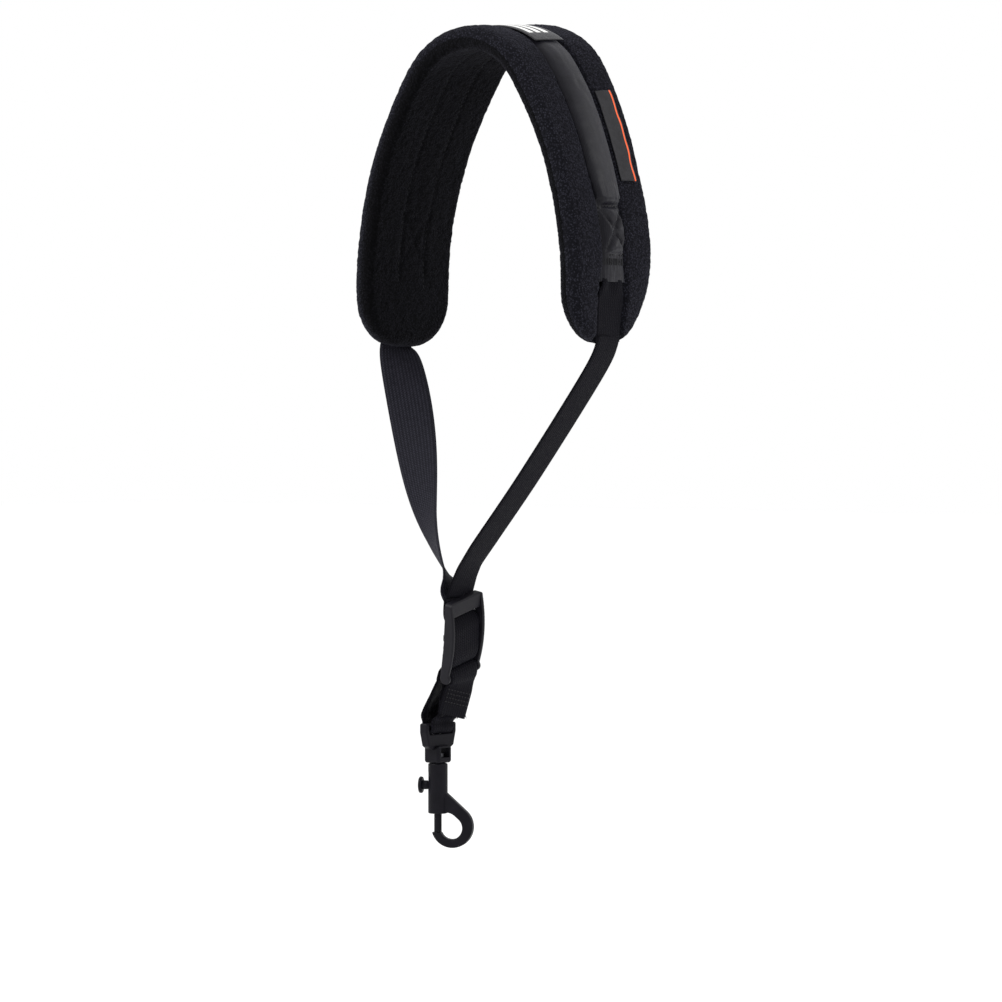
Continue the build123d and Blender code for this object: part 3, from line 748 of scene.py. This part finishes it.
def side_label_height(run, across):
    """The side label lies over the back margin, a little wrinkled, its outer edge standing off."""
    part = (across - SIDE_LABEL_SIDES[0]) / (SIDE_LABEL_SIDES[1] - SIDE_LABEL_SIDES[0])
    wrinkle = 0.35 * ripple(run, across * 0.5, 0, 7.0, 6.0) + 0.3 * sin(run * 0.42 + across * 0.2)
    return outer_height(run, across) + 0.75 + wrinkle * (0.25 + 0.5 * part) + 0.5 * part


# ---------------------------------------------------------------- straps, lock and loop


def lock_point(across, up, front):
    """Point given in the ladder lock's own plane."""
    return LOCK_TOP + LOCK_X * across + LOCK_Y * up + LOCK_Z * front


def strap_end(layer):
    """Where a strap enters the lock: layer 1 lies in front of layer -1."""
    return lock_point(0, -0.6, -3.7 + layer * WEBBING_THICK * 0.52)


def right_strap():
    points = [arch_frame(PAD_HALF_LENGTH - back, WEBBING_MIDDLE + 0.35)[0] for back in (4, 0.5)]
    points += [Vector((65.7, -2.5, -179.4)), Vector((31.6, -14.5, -234.0)), Vector((2.8, -23.5, -275.6))]
    points += [Vector((-4.4, -25.6, -288)), strap_end(1)]
    centres = smooth_route(points, 1.6)
    sides = []
    for centre in centres:
        side = Vector((-0.19, 0.98, -0.09))
        sides.append(side.lerp(LOCK_X, smooth(-270, -296, centre.z)))
    return tape("right_strap_webbing", centres, sides, [WEBBING_WIDTH] * len(centres), cup=0.15)


def left_strap():
    """Strap with a half turn in it, quick at the pad and steady below."""
    start = arch_frame(-PAD_HALF_LENGTH + 1.5, WEBBING_MIDDLE + 0.35)[0]
    end = strap_end(-1)
    count = 86
    centres, sides = [], []
    for index in range(count + 1):
        part = index / count
        drop = (start.z - end.z) * part
        turn = radians(25) * (1 - exp(-drop / 6)) + radians(0.92) * drop
        turn += (pi - turn) * smooth(0.93, 1.0, part)
        centres.append(start.lerp(end, part) + Vector((0, -9 * sin(pi * part * part), 0)))
        side = Vector((sin(turn), cos(turn), 0))
        sides.append(side.lerp(-LOCK_X, smooth(0.9, 1.0, part)))
    return tape("left_strap_webbing", centres, sides, [WEBBING_WIDTH - 0.3] * (count + 1), cup=0.3)


def lock_tape():
    """Both straps together, in front of the lock's centre bar and behind the other two."""
    pieces = []
    for layer in (-1, 1):
        centres = smooth_route([lock_point(0, up, out) for up, out in THREADED_ROUTE], 1.4)
        shifted = []
        for index, centre in enumerate(centres):
            run = (centres[min(index + 1, len(centres) - 1)] - centres[max(index - 1, 0)]).normalized()
            shifted.append(centre + LOCK_X.cross(run) * layer * WEBBING_THICK * 0.47)
        name = "lock_webbing_front" if layer < 0 else "lock_webbing_back"
        pieces.append(tape(name, shifted, [LOCK_X] * len(centres), [WEBBING_WIDTH] * len(centres)))
    return pieces


def tail_tape():
    """Sewn end of the webbing: up behind the bottom bar, over it and down the front."""
    up, out = BOTTOM_BAR
    points = [STRAND_END, STRAND_TOP, lock_point(0, up - 4.5, out - FOLD_RADIUS)]
    for angle in (180, 135, 90, 45, 0):
        turn = radians(angle)
        points.append(lock_point(0, up + FOLD_RADIUS * sin(turn), out + FOLD_RADIUS * cos(turn)))
    points += [lock_point(0, up - 4.5, out + FOLD_RADIUS), TAIL_TOP, TAIL_END]
    centres = smooth_route(points, 1.2)
    sides = [LOCK_X.lerp(LEVEL, smooth(-345, -352, centre.z)) for centre in centres]
    return tape("tail_webbing", centres, sides, [WEBBING_WIDTH - 0.4] * len(centres))


def frayed_end():
    """Loose yarns at the tail's cut end."""
    points, faces = [], []
    yarns = 34
    for index in range(yarns):
        across = (WEBBING_WIDTH - 1.5) * (index / (yarns - 1) - 0.5)
        length = 1.6 + 1.2 * (ripple(index, 0, 0, 1.7, 3.0) + 0.5)
        root = TAIL_END + Vector((0, 0, 0.3)) + LEVEL * across
        lean = Vector((0.5 * ripple(index, 3, 0, 1.3, 5.0), 0.9 * ripple(index, 5, 0, 1.3, 8.0), -1))
        base = len(points)
        for part in range(4):
            middle = root + lean * length * part / 3
            size = 0.34 * (1 - 0.22 * part)
            for corner in range(5):
                turn = 2 * pi * corner / 5
                points.append(middle + Vector((cos(turn), sin(turn), 0)) * size)
        faces += loops_to_faces(4, 5, base)
    return make_object("tail_fray", points, faces)


def tail_seams():
    """Rows of sewing through the tail."""
    top = TAIL_TOP
    run = (TAIL_END - TAIL_TOP).normalized()
    side = (LEVEL - run * LEVEL.dot(run)).normalized()
    out = run.cross(side)
    if out.x < 0:
        out = -out
    runs = []
    for row in range(4):
        middle = top + run * (2.0 + 2.3 * row) + out * (WEBBING_THICK / 2 + 0.05)
        line = [middle + side * (WEBBING_WIDTH - 4) * (index / 40 - 0.5) for index in range(41)]
        runs.append((line, [out] * len(line)))
    return runs


def loop_tapes():
    """The two strands below the lock, gathered into the eye, each with half the fold under its bar."""
    bar = Vector((HOOK_X, HOOK_Y, EYE_BAR_Z))
    back = [lock_point(0, -47, -7.6), Vector((-31.2, -18.8, -358)), Vector((-34.4, -19.8, -366)),
            bar + Vector((-BIGHT_RADIUS, 0, 3))]
    front = [STRAND_END, Vector((-22.9, -18.9, -365.0)), bar + Vector((BIGHT_RADIUS, 0, 3))]
    pieces = []
    strands = [("back_strand_webbing", back, -1, LOCK_X), ("front_strand_webbing", front, 1, LEVEL)]
    for name, points, side, start in strands:
        for angle in (0, 30, 60, 90, 96):
            turn = radians(angle)
            points.append(bar + Vector((side * BIGHT_RADIUS * cos(turn), 0, -BIGHT_RADIUS * sin(turn))))
        centres = smooth_route(points, 0.9)
        sides, widths, folds = [], [], []
        for centre in centres:
            part = smooth(-354, -371, centre.z)
            sides.append(start.lerp(Vector((0, 1, 0)), part))
            widths.append(WEBBING_WIDTH - 0.4 + (BIGHT_WIDTH - WEBBING_WIDTH + 0.4) * part)
            folds.append(1.1 * smooth(-348, -362, centre.z) * (1 - 0.85 * smooth(-366, -370, centre.z)))
        pieces.append(tape(name, centres, sides, widths, columns=22, folds=folds))
    return pieces


def gate_coil():
    """Compression spring behind the bolt."""
    steps = 24 * SPRING_TURNS
    sides = 8
    points = []
    for step in range(steps + 1):
        turn = 2 * pi * SPRING_TURNS * step / steps
        out = Vector((cos(turn), sin(turn), 0))
        level = SPRING_BOTTOM + (SPRING_TOP - SPRING_BOTTOM) * step / steps
        for side in range(sides):
            lean = 2 * pi * side / sides
            reach = SPRING_RADIUS + SPRING_WIRE * cos(lean)
            points.append(Vector((HOOK_X, HOOK_Y, level + SPRING_WIRE * sin(lean))) + out * reach)
    return make_object("gate_coil", points, loops_to_faces(steps + 1, sides))


# ---------------------------------------------------------------- assembly


def finish_piece(piece, material, body, slot, *replaced):
    """Material, body and replaced nodes of one rigid or riding piece; the slot argument is not used."""
    piece.data.materials.clear()
    piece.data.materials.append(material)
    if replaced:
        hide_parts(*replaced)
    if body:
        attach(piece, body)
    return piece


def build_pad(materials):
    # The neck cover takes the plush copy painted darker as shade, and the outer cover the copy painted
    # lighter as light.
    inner = pad_cover("inner_plush", inner_height, -1, 11.0)
    finish_piece(inner, materials["neck plush in painted shade"], "pad", "plush", "pad_inner_cover", "pad_foam")
    outer = pad_cover("outer_plush", outer_height, 1, 23.0)
    finish_piece(outer, materials["plush"], "pad", "plush", "pad_outer_cover")
    satin = finish_piece(sleeve(), materials["satin"], "pad", "satin", "sleeve_cover", "sleeve_foam")
    finish_piece(neck_tape(), materials["webbing"], "pad", "webbing", "neck_webbing")
    groove = lambda run, across: -(inner_height(run, across) - 0.3)
    rows = [seam_run((-SEAM_RUN, across), (SEAM_RUN, across), groove, 900) for across in (-SEAM_Y, SEAM_Y)]
    seams = stitches("channel_seams", rows, 3.0)
    finish_piece(seams, materials["thread"], "pad", "thread", "channel_stitching")
    for side, name in ((-1, "left"), (1, "right")):
        box = stitches(name + "_box_seams", box_seams(side), 2.2)
        finish_piece(box, materials["thread"], "pad", "thread", name + "_box_stitch")
        tack = stitches(name + "_bartack_rows", bartack_seams(side), 1.8, 0.2)
        finish_piece(tack, materials["thread"], "pad", "thread", name + "_bartack")


def build_labels(materials):
    half = TOP_LABEL_HALF_WIDTH
    crown = label("crown_label", TOP_LABEL_RUNS, (-half, half), top_label_height)
    finish_piece(crown, materials["crown label"], "pad", "label", "top_label")
    side = label("arm_label", SIDE_LABEL_RUNS, SIDE_LABEL_SIDES, side_label_height, rows=80)
    finish_piece(side, materials["arm label"], "pad", "label", "side_label")


def build_straps(materials):
    """Both straps, on the pad's body, each with a mesh of its own."""
    # The left strap takes the webbing copy painted lighter, as painted light.
    straps = ((left_strap(), "webbing in painted light", "left_strap"), (right_strap(), "webbing", "right_strap"))
    for piece, key, replaced in straps:
        finish_piece(piece, materials[key], "pad", "webbing", replaced)
        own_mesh(piece)


def build_lock(materials):
    front, back = lock_tape()
    finish_piece(front, materials["webbing"], "adjuster", "webbing", "threaded_webbing")
    finish_piece(back, materials["webbing"], "adjuster", "webbing")
    finish_piece(tail_tape(), materials["webbing"], "adjuster", "webbing", "loop_tail")
    finish_piece(frayed_end(), materials["webbing"], "adjuster", "webbing")
    finish_piece(stitches("tail_seams", tail_seams(), 2.2), materials["thread"], "adjuster", "thread",
                 "tail_stitching")


def build_loop(materials):
    """The two strands, on no body, with their meshes baked in place."""
    back, front = loop_tapes()
    finish_piece(back, materials["webbing"], None, "webbing", "back_strand", "loop_bight")
    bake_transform(back)
    finish_piece(front, materials["webbing"], None, "webbing", "front_strand")
    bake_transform(front)


def build_hardware(materials):
    """The moulded parts and the rivet keep their own shapes; the spring is a coil on the hook's body, with
    a mesh of its own.
    """
    for name in ("ladder_lock", "swivel_eye", "hook_body", "gate_bolt", "thumb_knob"):
        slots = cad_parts[name].data.materials
        slots.clear()
        slots.append(materials["lock plastic" if name == "ladder_lock" else "hook plastic"])
    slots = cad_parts["swivel_rivet"].data.materials
    slots.clear()
    slots.append(materials["rivet"])
    coil = finish_piece(gate_coil(), materials["spring"], "hook", "spring_steel", "gate_spring")
    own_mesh(coil)


def metal(name, colour, roughness):
    """Drawn or turned metal with fine scuffs."""
    material, main = shader(name, colour, roughness, 0.5)
    main.inputs["Metallic"].default_value = 1.0
    scuff = grain(material, 0.8, 4.0, 0.7)
    scuffed = ramp(material, scuff, 0.3, 0.7, roughness - 0.1, roughness + 0.12)
    link(material, scuffed, main.inputs["Roughness"])
    bump(material, main, scuff, 0.03, 0.4)
    return material


def all_materials():
    bars = [(-8.0, -4.4, -19, 17), (-1.9, 1.7, -19, 17), (4.2, 7.8, -19, 17)]
    return {
        # One pile in two copies: the neck plush is painted darker as shade inside the arch, and the outer
        # plush is painted lighter as light on the outer faces.
        "neck plush in painted shade": plush("neck_plush_painted_shade", (0.0008, 0.0008, 0.0011), (0.0072, 0.007, 0.0095)),
        "plush": plush("plush", (0.0036, 0.0036, 0.0052), (0.041, 0.041, 0.057)),
        "webbing": webbing_material("webbing", (0.0016, 0.0015, 0.0023), (0.0062, 0.0059, 0.0084)),
        # Copy of the webbing for the left strap, with its colours painted about three times lighter as
        # painted light.
        "webbing in painted light": webbing_material("webbing_painted_light", (0.005, 0.0049, 0.007), (0.022, 0.0215, 0.029)),
        "satin": satin_material("satin", (0.0032, 0.0031, 0.0044), (0.0150, 0.0145, 0.0200), 0.6),
        "crown label": label_material("crown_label", bars, None),
        "arm label": label_material("arm_label", [], (4.3, 5.4)),
        "thread": thread(),
        "lock plastic": plastic("lock_plastic", 0.12, (0.0034, 0.0031, 0.0048), (0.0068, 0.0063, 0.0092)),
        "hook plastic": plastic("hook_plastic", 0.08, (0.0024, 0.0022, 0.0036), (0.0048, 0.0044, 0.0068)),
        "rivet": metal("rivet", (0.05, 0.05, 0.055), 0.42),
        "spring": metal("spring", (0.6, 0.6, 0.61), 0.3),
    }


# ---------------------------------------------------------------- stage


def build_stage():
    """Pale floor, white surroundings and two soft lamps."""
    bpy.ops.mesh.primitive_plane_add(size=30, location=(0, 0, FLOOR_Z))
    ground = bpy.context.object
    ground.name = "pale_floor"
    material, main = shader("floor", (0.93, 0.93, 0.93), 0.9, 0.1)
    tint(material, main, grain(material, 400.0, 2.0), (0.92, 0.92, 0.92), (0.94, 0.94, 0.94))
    main.inputs["Emission Color"].default_value = (1, 1, 1, 1)
    main.inputs["Emission Strength"].default_value = 0.09
    ground.data.materials.append(material)
    world = bpy.data.worlds.new("studio")
    bpy.context.scene.world = world
    world.use_nodes = True
    world.node_tree.nodes["Background"].inputs["Color"].default_value = (1, 1, 1, 1)
    world.node_tree.nodes["Background"].inputs["Strength"].default_value = 1.0
    for name, spot, size, power in (("key", (-0.9, -1.6, 1.3), 0.9, 44), ("rim", (1.9, 0.4, 1.0), 0.8, 17)):
        lamp = bpy.data.lights.new(name, "AREA")
        lamp.size = size
        lamp.energy = power
        holder = bpy.data.objects.new(name, lamp)
        holder.location = spot
        holder.rotation_euler = (VIEW_TARGET - Vector(spot)).to_track_quat("-Z", "Y").to_euler()
        bpy.context.scene.collection.objects.link(holder)


def build_camera():
    camera = bpy.data.cameras.new("camera")
    camera.sensor_width = 36
    camera.lens = 36 * VIEW_DISTANCE / VIEW_WIDTH
    camera.clip_end = 100
    holder = bpy.data.objects.new("camera", camera)
    back = Vector((sin(VIEW_TURN) * cos(VIEW_RISE), -cos(VIEW_TURN) * cos(VIEW_RISE), sin(VIEW_RISE)))
    holder.location = VIEW_TARGET + back * VIEW_DISTANCE
    holder.rotation_euler = (-back).to_track_quat("-Z", "Y").to_euler()
    bpy.context.scene.collection.objects.link(holder)
    bpy.context.scene.camera = holder


build_camera()
build_stage()
bpy.context.scene.view_settings.view_transform = "Standard"
finishes = all_materials()
build_pad(finishes)
build_labels(finishes)
build_straps(finishes)
build_lock(finishes)
build_loop(finishes)
build_hardware(finishes)
